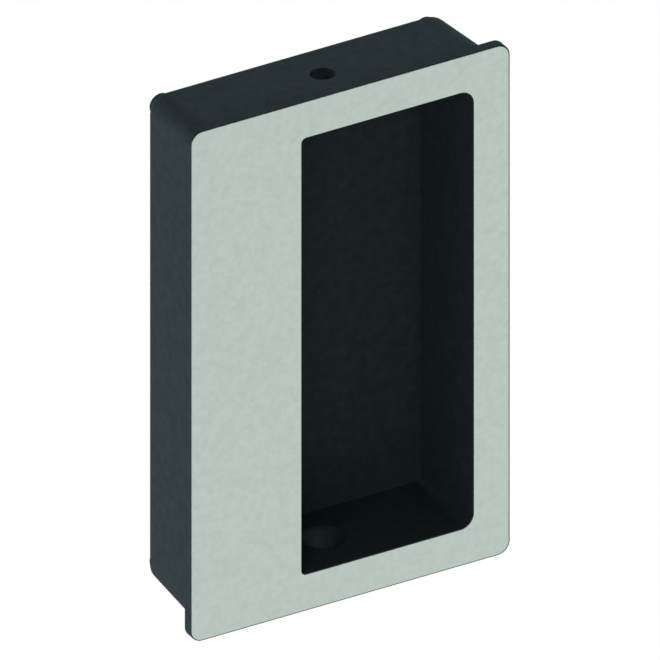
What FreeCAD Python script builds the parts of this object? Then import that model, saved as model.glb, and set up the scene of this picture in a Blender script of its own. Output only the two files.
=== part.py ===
import FreeCAD, Part
import os
import Sketcher

# A flush pull for a sliding door. A dark moulded cup is let into the door, a dark front
# frame covers its rim, and a thin satin metal plate is bonded to the frame. The mouth is
# offset to one side, so that the rest of the front makes a lip to hook the fingers behind.
# Four posts on the back of the frame run through the corners of the cup, and the rim of
# the cup sits in a shallow rebate, so that only the frame rests on the door.
# Millimetres. X to the right, Y into the door, Z up. The origin is the middle of the
# plane where the back of the frame rests on the face of the door.

SIZES = {
    # front frame
    "face_width": 75.2,
    "face_height": 120.0,
    "face_corner_radius": 2.8,
    "frame_thickness": 2.3,
    # rebate in the back of the frame that takes the rim of the cup
    "rebate_depth": 0.5,
    "rebate_clearance": 0.1,
    # thin metal plate on the frame, a little smaller than the frame all round
    "plate_thickness": 0.2,
    "plate_setback": 0.2,
    # outside of the cup, drawn in towards the back, and its depth behind the frame
    "frame_overhang": 1.7,
    "cup_depth": 20.3,
    "draft_angle": 3.0,
    "cup_corner_radius": 4.4,
    "cup_back_radius": 2.0,
    # hollow of the cup, measured from the edge of the face, a little narrower at the back
    "wall_margin": 8.7,
    "hollow_corner_radius": 3.0,
    "hollow_draw_in": 0.05,
    "hollow_back_radius": 1.2,
    "back_thickness": 1.4,
    # lip of the frame that closes the front on the left of the mouth
    "lip_width": 26.2,
    "lip_corner_radius": 1.0,
    # posts of the frame in the corners of the cup, measured from the edge of the face
    "post_margin": 6.5,
    "post_diameter": 5.1,
    "post_stand_out": 0.95,
    # fixing holes through the top and bottom walls, sunk on the inside
    "fixing_hole_diameter": 5.3,
    "fixing_sink_diameter": 9.6,
    "fixing_sink_angle": 120.0,
    "fixing_hole_depth": 8.9,
}

HALF_WIDTH = "sizes.face_width / 2"
HALF_HEIGHT = "sizes.face_height / 2"
POST_X = HALF_WIDTH + " - sizes.post_margin"
POST_Z = HALF_HEIGHT + " - sizes.post_margin"


def size_sheet(doc):
    sheet = doc.addObject("Spreadsheet::Sheet", "sizes")
    for row, (alias, value) in enumerate(SIZES.items(), start=1):
        cell = "A%d" % row
        sheet.set(cell, str(value))
        sheet.setAlias(cell, alias)
    doc.recompute()


def new_body(doc, name):
    body = doc.addObject("PartDesign::Body", name)
    body.Label = name
    return body


def origin_plane(body, role):
    return next(item for item in body.Origin.OriginFeatures if item.Role == role)


def new_sketch(body, name, role, offset=None):
    sketch = body.newObject("Sketcher::SketchObject", name)
    sketch.AttachmentSupport = [(origin_plane(body, role), "")]
    sketch.MapMode = "FlatFace"
    if offset:
        sketch.setExpression("AttachmentOffset.Base.z", offset)
    return sketch


def bind(sketch, kind, items, rough, formula):
    number = sketch.addConstraint(Sketcher.Constraint(kind, *items, rough))
    sketch.setExpression("Constraints[%d]" % number, formula)


# A rectangle with round corners. Each side is a distance from the sketch's origin, and
# the corners on the left and on the right have a radius of their own.
def rounded_rectangle(sketch, left, right, half_height, left_radius, right_radius):
    a = SIZES["face_width"] / 2 - 5
    b = SIZES["face_height"] / 2 - 5
    r = 2.0
    vector = FreeCAD.Vector
    z_axis = vector(0, 0, 1)
    quarter = 1.5707963267948966

    def line(x1, y1, x2, y2):
        sketch.addGeometry(Part.LineSegment(vector(x1, y1, 0), vector(x2, y2, 0)))

    def corner(x, y, turn):
        circle = Part.Circle(vector(x, y, 0), z_axis, r)
        sketch.addGeometry(Part.ArcOfCircle(circle, turn * quarter, (turn + 1) * quarter))

    line(-a + r, -b, a - r, -b)
    corner(a - r, -b + r, 3)
    line(a, -b + r, a, b - r)
    corner(a - r, b - r, 0)
    line(a - r, b, -a + r, b)
    corner(-a + r, b - r, 1)
    line(-a, b - r, -a, -b + r)
    corner(-a + r, -b + r, 2)
    for item in range(8):
        sketch.addConstraint(Sketcher.Constraint("Tangent", item, 2, (item + 1) % 8, 1))
    sketch.addConstraint(Sketcher.Constraint("Horizontal", 0))
    sketch.addConstraint(Sketcher.Constraint("Horizontal", 4))
    sketch.addConstraint(Sketcher.Constraint("Vertical", 2))
    sketch.addConstraint(Sketcher.Constraint("Vertical", 6))
    bind(sketch, "DistanceY", (0, 1, -1, 1), b, half_height)
    bind(sketch, "DistanceY", (-1, 1, 4, 1), b, half_height)
    bind(sketch, "DistanceX", (-1, 1, 2, 1), a, right)
    bind(sketch, "DistanceX", (6, 1, -1, 1), a, left)
    for item, radius in ((1, right_radius), (3, right_radius), (5, left_radius), (7, left_radius)):
        bind(sketch, "Radius", (item,), r, radius)


def even_rectangle(sketch, inset, radius):
    half_width = HALF_WIDTH + inset
    rounded_rectangle(sketch, half_width, half_width, HALF_HEIGHT + inset, radius, radius)


# A rectangle with sharp corners round the sketch's origin.
def sharp_rectangle(sketch, half_width, half_height):
    a = SIZES["face_width"] / 2 - 5
    b = SIZES["face_height"] / 2 - 5
    corners = ((-a, -b), (a, -b), (a, b), (-a, b))
    for number in range(4):
        start = FreeCAD.Vector(*corners[number], 0)
        end = FreeCAD.Vector(*corners[(number + 1) % 4], 0)
        sketch.addGeometry(Part.LineSegment(start, end))
    for number in range(4):
        following = (number + 1) % 4
        sketch.addConstraint(Sketcher.Constraint("Coincident", number, 2, following, 1))
    for number in (0, 2):
        sketch.addConstraint(Sketcher.Constraint("Horizontal", number))
        sketch.addConstraint(Sketcher.Constraint("Vertical", number + 1))
    bind(sketch, "DistanceX", (0, 1, -1, 1), a, half_width)
    bind(sketch, "DistanceX", (-1, 1, 1, 1), a, half_width)
    bind(sketch, "DistanceY", (0, 1, -1, 1), b, half_height)
    bind(sketch, "DistanceY", (-1, 1, 2, 1), b, half_height)


# Four equal circles, one in each corner.
def post_circles(sketch):
    x = SIZES["face_width"] / 2 - SIZES["post_margin"]
    y = SIZES["face_height"] / 2 - SIZES["post_margin"]
    z_axis = FreeCAD.Vector(0, 0, 1)
    for side, level in ((1, 1), (-1, 1), (-1, -1), (1, -1)):
        centre = FreeCAD.Vector(side * x, level * y, 0)
        item = sketch.addGeometry(Part.Circle(centre, z_axis, 1.0))
        across = (-1, 1, item, 3) if side > 0 else (item, 3, -1, 1)
        along = (-1, 1, item, 3) if level > 0 else (item, 3, -1, 1)
        bind(sketch, "DistanceX", across, x, POST_X)
        bind(sketch, "DistanceY", along, y, POST_Z)
        bind(sketch, "Radius", (item,), 1.0, "sizes.post_diameter / 2")


def pad(body, name, sketch, length, into_door, draft=None):
    feature = body.newObject("PartDesign::Pad", name)
    feature.Profile = sketch
    feature.Reversed = into_door
    feature.setExpression("Length", length)
    if draft:
        feature.setExpression("TaperAngle", draft)
    body.Document.recompute()
    return feature


# A pocket takes material away on the side that towards_front names, and must take some.
def pocket(body, name, sketch, length, towards_front):
    before = body.Shape.Volume
    feature = body.newObject("PartDesign::Pocket", name)
    feature.Profile = sketch
    feature.Reversed = towards_front
    feature.setExpression("Length", length)
    body.Document.recompute()
    if feature.Shape.isNull() or feature.Shape.Volume > before - 0.1:
        raise RuntimeError(name + " takes nothing away")
    return feature


# The hollow of the cup runs straight from one outline to the other.
def hollow_between(body, mouth, end):
    before = body.Shape.Volume
    feature = body.newObject("PartDesign::SubtractiveLoft", "hollow")
    feature.Profile = mouth
    feature.Sections = [end]
    feature.Ruled = True
    body.Document.recompute()
    if feature.Shape.isNull() or feature.Shape.Volume > before - 0.1:
        raise RuntimeError("the hollow takes nothing away")


def round_edges(body, name, base, edges, radius):
    rounding = body.newObject("PartDesign::Fillet", name)
    rounding.Base = (base, edges)
    rounding.setExpression("Radius", radius)
    body.Document.recompute()
    return rounding


def edges_within(shape, low, high):
    """Names of the edges that reach from depth low to depth high in the door."""
    names = []
    for number, edge in enumerate(shape.Edges, start=1):
        box = edge.BoundBox
        if abs(box.YMin - low) < 0.01 and abs(box.YMax - high) < 0.01:
            names.append("Edge%d" % number)
    return names


# Dark moulding with four drafted walls, a thin back and holes for the posts.
def make_cup(doc):
    body = new_body(doc, "cup")
    rim = -SIZES["rebate_depth"]
    depth = SIZES["cup_depth"]
    whole = "sizes.cup_depth + sizes.rebate_depth"

    walls = new_sketch(body, "wall_outline", "XZ_Plane", "sizes.rebate_depth")
    sharp_rectangle(
        walls,
        HALF_WIDTH + " - sizes.frame_overhang",
        HALF_HEIGHT + " - sizes.frame_overhang",
    )
    block = pad(body, "walls", walls, whole, True, "-sizes.draft_angle")
    upright = edges_within(block.Shape, rim, depth)
    corners = round_edges(body, "corners", block, upright, "sizes.cup_corner_radius")
    back = edges_within(corners.Shape, depth, depth)
    round_edges(body, "back_edge", corners, back, "sizes.cup_back_radius")

    mouth = new_sketch(body, "hollow_outline", "XZ_Plane", "sizes.rebate_depth")
    even_rectangle(mouth, " - sizes.wall_margin", "sizes.hollow_corner_radius")
    inner_back = "sizes.back_thickness - sizes.cup_depth"
    end = new_sketch(body, "hollow_end_outline", "XZ_Plane", inner_back)
    even_rectangle(
        end,
        " - sizes.wall_margin - sizes.hollow_draw_in",
        "sizes.hollow_back_radius",
    )
    hollow_between(body, mouth, end)

    holes = new_sketch(body, "post_hole_centres", "XZ_Plane", "sizes.rebate_depth")
    post_circles(holes)
    pocket(body, "post_holes", holes, whole, False)

    fixing_holes(body)
    return body


# Two sunk holes on one vertical line, one in the bottom wall and its mirror in the top wall.
# They are cut from the level of the wall at the back, which is the innermost one.
def fixing_holes(body):
    inside = "-(" + HALF_HEIGHT + " - sizes.wall_margin - sizes.hollow_draw_in)"
    centre = new_sketch(body, "fixing_hole_centre", "XY_Plane", inside)
    circle = Part.Circle(FreeCAD.Vector(0, 9, 0), FreeCAD.Vector(0, 0, 1), 2.0)
    item = centre.addGeometry(circle)
    centre.addConstraint(Sketcher.Constraint("PointOnObject", item, 3, -2))
    bind(centre, "DistanceY", (-1, 1, item, 3), 9.0, "sizes.fixing_hole_depth")
    bind(centre, "Radius", (item,), 2.0, "sizes.fixing_hole_diameter / 2")
    body.Document.recompute()

    before = body.Shape.Volume
    hole = body.newObject("PartDesign::Hole", "fixing_hole_bottom")
    hole.Profile = centre
    body.Document.recompute()
    hole.DepthType = "ThroughAll"
    hole.setExpression("Diameter", "sizes.fixing_hole_diameter")
    hole.HoleCutType = "Countersink"
    hole.HoleCutCustomValues = True
    hole.setExpression("HoleCutDiameter", "sizes.fixing_sink_diameter")
    hole.setExpression("HoleCutCountersinkAngle", "sizes.fixing_sink_angle")
    body.Document.recompute()
    one = before - hole.Shape.Volume

    mirror = body.newObject("PartDesign::Mirrored", "fixing_hole_top")
    mirror.Originals = [hole]
    mirror.MirrorPlane = (origin_plane(body, "XY_Plane"), [""])
    body.Tip = mirror
    body.Document.recompute()
    both = before - mirror.Shape.Volume
    if one < 1.0 or abs(both - 2 * one) > 0.01 * both:
        raise RuntimeError("the fixing holes are not two equal cuts")


# The mouth, with one straight side cut by the lip and three sides in line with the hollow.
def mouth_outline(sketch, wider):
    rounded_rectangle(
        sketch,
        HALF_WIDTH + " - sizes.lip_width" + wider,
        HALF_WIDTH + " - sizes.wall_margin" + wider,
        HALF_HEIGHT + " - sizes.wall_margin" + wider,
        "sizes.lip_corner_radius" + wider,
        "sizes.hollow_corner_radius" + wider,
    )


# Dark moulding that covers the rim of the cup, with the finger lip and the four posts.
def make_front_frame(doc):
    body = new_body(doc, "front_frame")
    outline = new_sketch(body, "frame_outline", "XZ_Plane")
    even_rectangle(outline, "", "sizes.face_corner_radius")
    pad(body, "frame", outline, "sizes.frame_thickness", False)

    mouth = new_sketch(body, "frame_mouth", "XZ_Plane")
    mouth_outline(mouth, "")
    pocket(body, "mouth", mouth, "sizes.frame_thickness", True)

    seat = new_sketch(body, "cup_seat", "XZ_Plane")
    even_rectangle(
        seat,
        " - sizes.frame_overhang + sizes.rebate_clearance",
        "sizes.cup_corner_radius + sizes.rebate_clearance",
    )
    pocket(body, "rebate", seat, "sizes.rebate_depth", True)

    posts = new_sketch(body, "post_centres", "XZ_Plane", "sizes.rebate_depth")
    post_circles(posts)
    reach = "sizes.rebate_depth + sizes.cup_depth + sizes.post_stand_out"
    pad(body, "posts", posts, reach, True)
    return body


# Thin satin metal plate on the front of the frame, cut out round the mouth.
def make_face_plate(doc):
    body = new_body(doc, "face_plate")
    outline = new_sketch(body, "plate_outline", "XZ_Plane", "sizes.frame_thickness")
    even_rectangle(
        outline,
        " - sizes.plate_setback",
        "sizes.face_corner_radius - sizes.plate_setback",
    )
    pad(body, "plate", outline, "sizes.plate_thickness", False)

    opening = new_sketch(body, "plate_opening", "XZ_Plane", "sizes.frame_thickness")
    mouth_outline(opening, " + sizes.plate_setback")
    pocket(body, "opening", opening, "sizes.plate_thickness", True)
    return body


def check_objects(doc, bodies):
    doc.recompute()
    for item in doc.Objects:
        if "Invalid" in item.State or "Error" in item.State:
            raise RuntimeError(item.Label + " failed: " + ", ".join(item.State))
    for body in bodies:
        shape = body.Shape
        if shape.isNull() or not shape.isValid() or len(shape.Solids) != 1:
            raise RuntimeError(body.Label + " is not one valid solid")


def write_parts(bodies):
    os.makedirs("parts", exist_ok=True)
    for body in bodies:
        body.Shape.exportStep(os.path.join("parts", body.Label + ".step"))
        box = body.Shape.BoundBox
        ends = (box.XMin, box.XMax, box.YMin, box.YMax, box.ZMin, box.ZMax)
        print("%-12s %9.2f mm3" % (body.Label, body.Shape.Volume), end="")
        print("  x %.2f..%.2f  y %.2f..%.2f  z %.2f..%.2f" % ends)


def build():
    doc = FreeCAD.newDocument("pocket_door_pull")
    size_sheet(doc)
    bodies = [make_cup(doc), make_front_frame(doc), make_face_plate(doc)]
    check_objects(doc, bodies)
    write_parts(bodies)


build()
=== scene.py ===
import math

import bpy
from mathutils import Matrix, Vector


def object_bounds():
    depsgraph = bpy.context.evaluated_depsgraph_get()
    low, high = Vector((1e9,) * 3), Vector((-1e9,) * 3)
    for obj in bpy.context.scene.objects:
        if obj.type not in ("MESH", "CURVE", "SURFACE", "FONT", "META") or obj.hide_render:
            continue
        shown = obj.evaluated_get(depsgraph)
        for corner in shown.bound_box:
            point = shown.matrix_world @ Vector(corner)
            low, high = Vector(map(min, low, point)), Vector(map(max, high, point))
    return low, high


# A flush pull for a pocket door, seen from the left and from above. A dark moulded cup and
# front frame carry a thin satin metal face plate. Metres, with the front facing -Y.

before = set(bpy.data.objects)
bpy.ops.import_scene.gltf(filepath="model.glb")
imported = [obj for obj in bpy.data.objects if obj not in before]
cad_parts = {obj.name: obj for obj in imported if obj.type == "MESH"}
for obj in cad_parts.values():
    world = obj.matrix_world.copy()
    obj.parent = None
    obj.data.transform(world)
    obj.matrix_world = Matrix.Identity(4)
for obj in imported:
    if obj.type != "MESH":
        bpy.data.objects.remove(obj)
cad_low, cad_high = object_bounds()

# camera
VIEW_AZIMUTH = math.radians(-30)
VIEW_ELEVATION = math.radians(30)
VIEW_DISTANCE = 0.6
VIEW_WIDTH = 0.13464
VIEW_TARGET = Vector((-0.00483, -0.0025, 0.004555))
VIEW_NEAR = 0.01
VIEW_FAR = 20.0

# Finishes. Colours are linear values, and each finish runs between two of them. The grain
# and the clouds are noise scales, and the bump has a strength and a height in metres.
MOULDING = {
    "colours": ((0.0268, 0.0390, 0.0417), (0.0352, 0.0518, 0.0553)),
    "roughness": (0.8, 0.92),
    "grain_scale": 3200.0,
    "cloud_scale": 430.0,
    "bump": (0.25, 0.00004),
}
PLATE = {
    "colours": ((0.566, 0.658, 0.609), (0.646, 0.751, 0.695)),
    "roughness": (0.44, 0.54),
    "grain_scale": 5200.0,
    "cloud_scale": 640.0,
    "bump": (0.12, 0.00002),
}
MOULDING_SPECULAR = 0.04
PLATE_METALLIC = 0.9
GRAIN_NOISE = (4.0, 0.65)
CLOUD_NOISE = (3.0, 0.55)
CLOUD_RANGE = (0.3, 0.7)

# Painted light inside the two sunk fixing holes, which stand on one upright line at this depth:
# a paler colour stands for the light on their left and far walls and fades out to the right,
# where they lie in shade. Each pair says where the paler colour is gone and where it is whole:
# away from that line, to the right of it, and up and down from the middle of the cup on its
# inner and outer side.
HOLE_PAINTED_LIGHT_COLOUR = (0.062, 0.087, 0.091)
HOLE_DEPTH = 0.0089
HOLE_AWAY = (0.0046, 0.0036)
HOLE_RIGHT = (0.0045, 0.0008)
HOLE_INNER = (0.0513, 0.0514)
HOLE_OUTER = (0.0569, 0.0552)

# Painted highlight on the front strip of the frame beside the left edge of the plate, where
# that edge catches the light, and the planes that bound it.
STRIP_PAINTED_HIGHLIGHT_COLOUR = (0.060, 0.085, 0.090)
STRIP_LEFT = -0.0372
STRIP_FRONT = -0.00225

# Painted shade: a fine dark line on the plate, outside a rectangle with round corners, for the
# shade along its edges. The rectangle's middle lies up and to the left of the plate's, so the
# line runs along the right and bottom edges alone.
EDGE_PAINTED_SHADE_COLOUR = (0.028, 0.036, 0.036)
LINE_MIDDLE = (-0.0001, 0.0, 0.00006)
LINE_HALF_WIDTH = 0.03734
LINE_HALF_HEIGHT = 0.05974
LINE_ROUND = 0.0026
LINE_GAP = 0.00001

# floor and sky
FLOOR_COLOUR = (0.86, 0.86, 0.86)
FLOOR_DROP = 0.5
FLOOR_HALF_WIDTH = 3.0
FLOOR_WHITE_SHARE = 0.97
SKY_LIGHT = 0.175

# soft boxes, each with its place, its width and its power in watts
SOFT_BOXES = (
    ("soft_box_right", (0.82, 0.82, 0.31), 0.6, 13.8),
    ("soft_box_left_high", (-0.6, 0.6, 0.85), 0.6, 4.02),
    ("soft_box_left_low", (-0.605, 0.605, -0.278), 0.35, 5.76),
    ("soft_box_front_left", (-0.82, -0.82, 0.31), 0.6, 2.48),
    ("soft_box_front", (0, -1.16, 0.31), 0.6, 1.06),
    ("soft_box_front_right", (0.605, -0.605, -0.278), 0.35, 0.74),
)

# sockets of a Mix node that is set to colours
MIX_UNDER = 6
MIX_OVER = 7
MIX_RESULT = 2


def new_material(name):
    material = bpy.data.materials.new(name)
    material.use_nodes = True
    nodes = material.node_tree.nodes
    nodes.clear()
    output = nodes.new("ShaderNodeOutputMaterial")
    return material, nodes, material.node_tree.links, output


def dress(node, material):
    """Gives a CAD node its finish, in every slot that it has."""
    for material_slot in node.material_slots:
        material_slot.material = material


def feed(links, value, socket):
    """Links a node's output to a socket, or sets the socket where a plain value is given."""
    if isinstance(value, bpy.types.NodeSocket):
        links.new(value, socket)
    else:
        socket.default_value = value


def maths(nodes, links, operation, first, second=0.0):
    node = nodes.new("ShaderNodeMath")
    node.operation = operation
    feed(links, first, node.inputs[0])
    feed(links, second, node.inputs[1])
    return node.outputs["Value"]


def vector_maths(nodes, links, operation, first, second=(0.0, 0.0, 0.0)):
    """A vector for most operations, and a number for a distance or a length."""
    node = nodes.new("ShaderNodeVectorMath")
    node.operation = operation
    feed(links, first, node.inputs[0])
    feed(links, second, node.inputs[1])
    is_number = operation in ("DISTANCE", "LENGTH")
    return node.outputs["Value" if is_number else "Vector"]


def fade(nodes, links, value, ends):
    """0 at the first end and 1 at the second, also where the first is the larger."""
    ramp = nodes.new("ShaderNodeMapRange")
    ramp.inputs["From Min"].default_value = ends[0]
    ramp.inputs["From Max"].default_value = ends[1]
    links.new(value, ramp.inputs["Value"])
    return ramp.outputs["Result"]


def colour_mix(nodes, links, share, under, over):
    """Runs from the colour under to the colour over as the share goes from 0 to 1."""
    mix = nodes.new("ShaderNodeMix")
    mix.data_type = "RGBA"
    links.new(share, mix.inputs[0])
    feed(links, under, mix.inputs[MIX_UNDER])
    feed(links, over, mix.inputs[MIX_OVER])
    return mix.outputs[MIX_RESULT]


def noise(nodes, links, place, scale, shape):
    texture = nodes.new("ShaderNodeTexNoise")
    texture.inputs["Detail"].default_value = shape[0]
    texture.inputs["Roughness"].default_value = shape[1]
    links.new(place, texture.inputs["Vector"])
    links.new(scale, texture.inputs["Scale"])
    return texture.outputs["Fac"]


def grain_group():
    """Fine grain and soft clouds on Object coordinates, shared by both finishes."""
    group = bpy.data.node_groups.new("grain_and_clouds", "ShaderNodeTree")
    socket = group.interface.new_socket
    socket("Grain Scale", in_out="INPUT", socket_type="NodeSocketFloat")
    socket("Cloud Scale", in_out="INPUT", socket_type="NodeSocketFloat")
    socket("Grain Height", in_out="OUTPUT", socket_type="NodeSocketFloat")
    socket("Clouds", in_out="OUTPUT", socket_type="NodeSocketFloat")
    nodes, links = group.nodes, group.links
    given = nodes.new("NodeGroupInput")
    result = nodes.new("NodeGroupOutput")
    place = nodes.new("ShaderNodeTexCoord").outputs["Object"]
    grain = noise(nodes, links, place, given.outputs["Grain Scale"], GRAIN_NOISE)
    clouds = noise(nodes, links, place, given.outputs["Cloud Scale"], CLOUD_NOISE)
    links.new(grain, result.inputs["Grain Height"])
    links.new(fade(nodes, links, clouds, CLOUD_RANGE), result.inputs["Clouds"])
    return group


def hole_painted_light_mask(nodes, links):
    """1 where light is painted on the inside of the two sunk holes, towards the left, and 0 on
    the skin.
    """
    parts = nodes.new("ShaderNodeSeparateXYZ")
    flat = nodes.new("ShaderNodeCombineXYZ")
    place = nodes.new("ShaderNodeTexCoord").outputs["Object"]
    links.new(place, parts.inputs["Vector"])
    links.new(parts.outputs["X"], flat.inputs["X"])
    links.new(parts.outputs["Y"], flat.inputs["Y"])
    centre = (0.0, HOLE_DEPTH, 0.0)
    away = vector_maths(nodes, links, "DISTANCE", flat.outputs["Vector"], centre)
    height = maths(nodes, links, "ABSOLUTE", parts.outputs["Z"])
    mask = fade(nodes, links, away, HOLE_AWAY)
    limits = (
        (parts.outputs["X"], HOLE_RIGHT),
        (height, HOLE_INNER),
        (height, HOLE_OUTER),
    )
    for value, ends in limits:
        mask = maths(nodes, links, "MULTIPLY", mask, fade(nodes, links, value, ends))
    return mask


def strip_painted_highlight_mask(nodes, links):
    """1 where a highlight is painted on the narrow front strip of the frame beside the plate's
    left edge, 0 elsewhere.
    """
    parts = nodes.new("ShaderNodeSeparateXYZ")
    place = nodes.new("ShaderNodeTexCoord").outputs["Object"]
    links.new(place, parts.inputs["Vector"])
    left = maths(nodes, links, "LESS_THAN", parts.outputs["X"], STRIP_LEFT)
    front = maths(nodes, links, "LESS_THAN", parts.outputs["Y"], STRIP_FRONT)
    return maths(nodes, links, "MULTIPLY", left, front)


def edge_painted_shade_mask(nodes, links):
    """1 on the fine line of painted shade along the plate's right and bottom edges, and 0
    elsewhere.
    """
    place = nodes.new("ShaderNodeTexCoord").outputs["Object"]
    centred = vector_maths(nodes, links, "SUBTRACT", place, LINE_MIDDLE)
    folded = vector_maths(nodes, links, "ABSOLUTE", centred)
    inner = (LINE_HALF_WIDTH - LINE_ROUND, 1.0, LINE_HALF_HEIGHT - LINE_ROUND)
    beyond = vector_maths(nodes, links, "SUBTRACT", folded, inner)
    outer = vector_maths(nodes, links, "MAXIMUM", beyond)
    reach = vector_maths(nodes, links, "LENGTH", outer)
    return maths(nodes, links, "GREATER_THAN", reach, LINE_ROUND + LINE_GAP)


def start_finish(name, look, group):
    """What both finishes share: clouds in colour and roughness, and a fine raised grain."""
    material, nodes, links, output = new_material(name)
    pattern = nodes.new("ShaderNodeGroup")
    pattern.node_tree = group
    pattern.inputs["Grain Scale"].default_value = look["grain_scale"]
    pattern.inputs["Cloud Scale"].default_value = look["cloud_scale"]
    clouds = pattern.outputs["Clouds"]
    low_colour, high_colour = look["colours"]
    colour = colour_mix(nodes, links, clouds, (*low_colour, 1.0), (*high_colour, 1.0))

    rough = nodes.new("ShaderNodeMapRange")
    rough.inputs["To Min"].default_value = look["roughness"][0]
    rough.inputs["To Max"].default_value = look["roughness"][1]
    bump = nodes.new("ShaderNodeBump")
    bump.inputs["Strength"].default_value = look["bump"][0]
    bump.inputs["Distance"].default_value = look["bump"][1]
    shader = nodes.new("ShaderNodeBsdfPrincipled")
    links.new(clouds, rough.inputs["Value"])
    links.new(rough.outputs["Result"], shader.inputs["Roughness"])
    links.new(pattern.outputs["Grain Height"], bump.inputs["Height"])
    links.new(bump.outputs["Normal"], shader.inputs["Normal"])
    links.new(shader.outputs["BSDF"], output.inputs["Surface"])
    return material, nodes, links, colour, shader


def moulding_material(group):
    """Matt, nearly black moulded plastic, with painted light in the sunk holes and a painted
    highlight on the left strip.
    """
    material, nodes, links, colour, shader = start_finish("matt_black_moulding", MOULDING, group)
    shader.inputs["Specular IOR Level"].default_value = MOULDING_SPECULAR
    # painted light inside the sunk holes
    colour = colour_mix(nodes, links, hole_painted_light_mask(nodes, links), colour, (*HOLE_PAINTED_LIGHT_COLOUR, 1.0))
    # painted highlight on the frame's left strip
    colour = colour_mix(nodes, links, strip_painted_highlight_mask(nodes, links), colour, (*STRIP_PAINTED_HIGHLIGHT_COLOUR, 1.0))
    links.new(colour, shader.inputs["Base Color"])
    return material


def plate_material(group):
    """Satin metal with a faint clouded finish, a blasted grain and a fine line of painted shade
    along its right and bottom edges.
    """
    material, nodes, links, colour, shader = start_finish("satin_clouded_metal", PLATE, group)
    shader.inputs["Metallic"].default_value = PLATE_METALLIC
    # painted shade along the plate's right and bottom edges
    colour = colour_mix(nodes, links, edge_painted_shade_mask(nodes, links), colour, (*EDGE_PAINTED_SHADE_COLOUR, 1.0))
    links.new(colour, shader.inputs["Base Color"])
    return material


def seen_directly(nodes, links):
    """1 for what the camera sees, also in a gloss or through glass, and 0 for other light."""
    path = nodes.new("ShaderNodeLightPath").outputs
    seen = maths(nodes, links, "MAXIMUM", path["Is Camera Ray"], path["Is Glossy Ray"])
    return maths(nodes, links, "MAXIMUM", seen, path["Is Transmission Ray"])


def make_floor():
    """A plain pale floor below the pull, which keeps its soft shadow."""
    material, nodes, links, output = new_material("pale_floor")
    matt = nodes.new("ShaderNodeBsdfDiffuse")
    matt.inputs["Color"].default_value = (*FLOOR_COLOUR, 1.0)
    white = nodes.new("ShaderNodeEmission")
    white.inputs["Strength"].default_value = 1.0
    blend = nodes.new("ShaderNodeMixShader")
    seen = seen_directly(nodes, links)
    share = maths(nodes, links, "MULTIPLY", seen, FLOOR_WHITE_SHARE)
    links.new(share, blend.inputs["Fac"])
    links.new(matt.outputs["BSDF"], blend.inputs[1])
    links.new(white.outputs["Emission"], blend.inputs[2])
    links.new(blend.outputs["Shader"], output.inputs["Surface"])

    bpy.ops.object.select_all(action="DESELECT")
    level = cad_low.z - FLOOR_DROP
    bpy.ops.mesh.primitive_plane_add(size=2 * FLOOR_HALF_WIDTH, location=(0, 0, level))
    bpy.ops.object.transform_apply(location=True, rotation=True, scale=True)
    floor = bpy.context.object
    floor.name = "floor"
    floor.data.materials.append(material)


def make_sky():
    """An even pale light, which the camera sees as white."""
    world = bpy.data.worlds.new("pale_studio")
    bpy.context.scene.world = world
    world.use_nodes = True
    nodes, links = world.node_tree.nodes, world.node_tree.links
    nodes.clear()
    output = nodes.new("ShaderNodeOutputWorld")
    light = nodes.new("ShaderNodeBackground")
    strength = nodes.new("ShaderNodeMapRange")
    strength.inputs["To Min"].default_value = SKY_LIGHT
    strength.inputs["To Max"].default_value = 1.0
    links.new(seen_directly(nodes, links), strength.inputs["Value"])
    links.new(strength.outputs["Result"], light.inputs["Strength"])
    links.new(light.outputs["Background"], output.inputs["Surface"])


def make_lamp(name, place, width, watts):
    """A square soft box that points at the pull."""
    lamp = bpy.data.lights.new(name, "AREA")
    lamp.shape = "SQUARE"
    lamp.size = width
    lamp.energy = watts
    holder = bpy.data.objects.new(name, lamp)
    bpy.context.collection.objects.link(holder)
    holder.location = place
    holder.rotation_euler = Vector(place).to_track_quat("Z", "Y").to_euler()
    holder.visible_camera = False
    holder.visible_glossy = False


def make_camera():
    camera = bpy.data.cameras.new("camera")
    camera.type = "ORTHO"
    camera.ortho_scale = VIEW_WIDTH
    camera.clip_start = VIEW_NEAR
    camera.clip_end = VIEW_FAR
    holder = bpy.data.objects.new("camera", camera)
    bpy.context.collection.objects.link(holder)
    back = Vector((
        math.sin(VIEW_AZIMUTH) * math.cos(VIEW_ELEVATION),
        -math.cos(VIEW_AZIMUTH) * math.cos(VIEW_ELEVATION),
        math.sin(VIEW_ELEVATION),
    ))
    holder.location = VIEW_TARGET + back * VIEW_DISTANCE
    holder.rotation_euler = (math.radians(90) - VIEW_ELEVATION, 0, VIEW_AZIMUTH)
    bpy.context.scene.camera = holder


pattern = grain_group()
moulding = moulding_material(pattern)
plate = plate_material(pattern)
dress(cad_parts["cup"], moulding)
dress(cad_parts["front_frame"], moulding)
dress(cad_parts["face_plate"], plate)

make_floor()
make_sky()
for soft_box in SOFT_BOXES:
    make_lamp(*soft_box)
make_camera()
bpy.context.scene.view_settings.view_transform = "Standard"
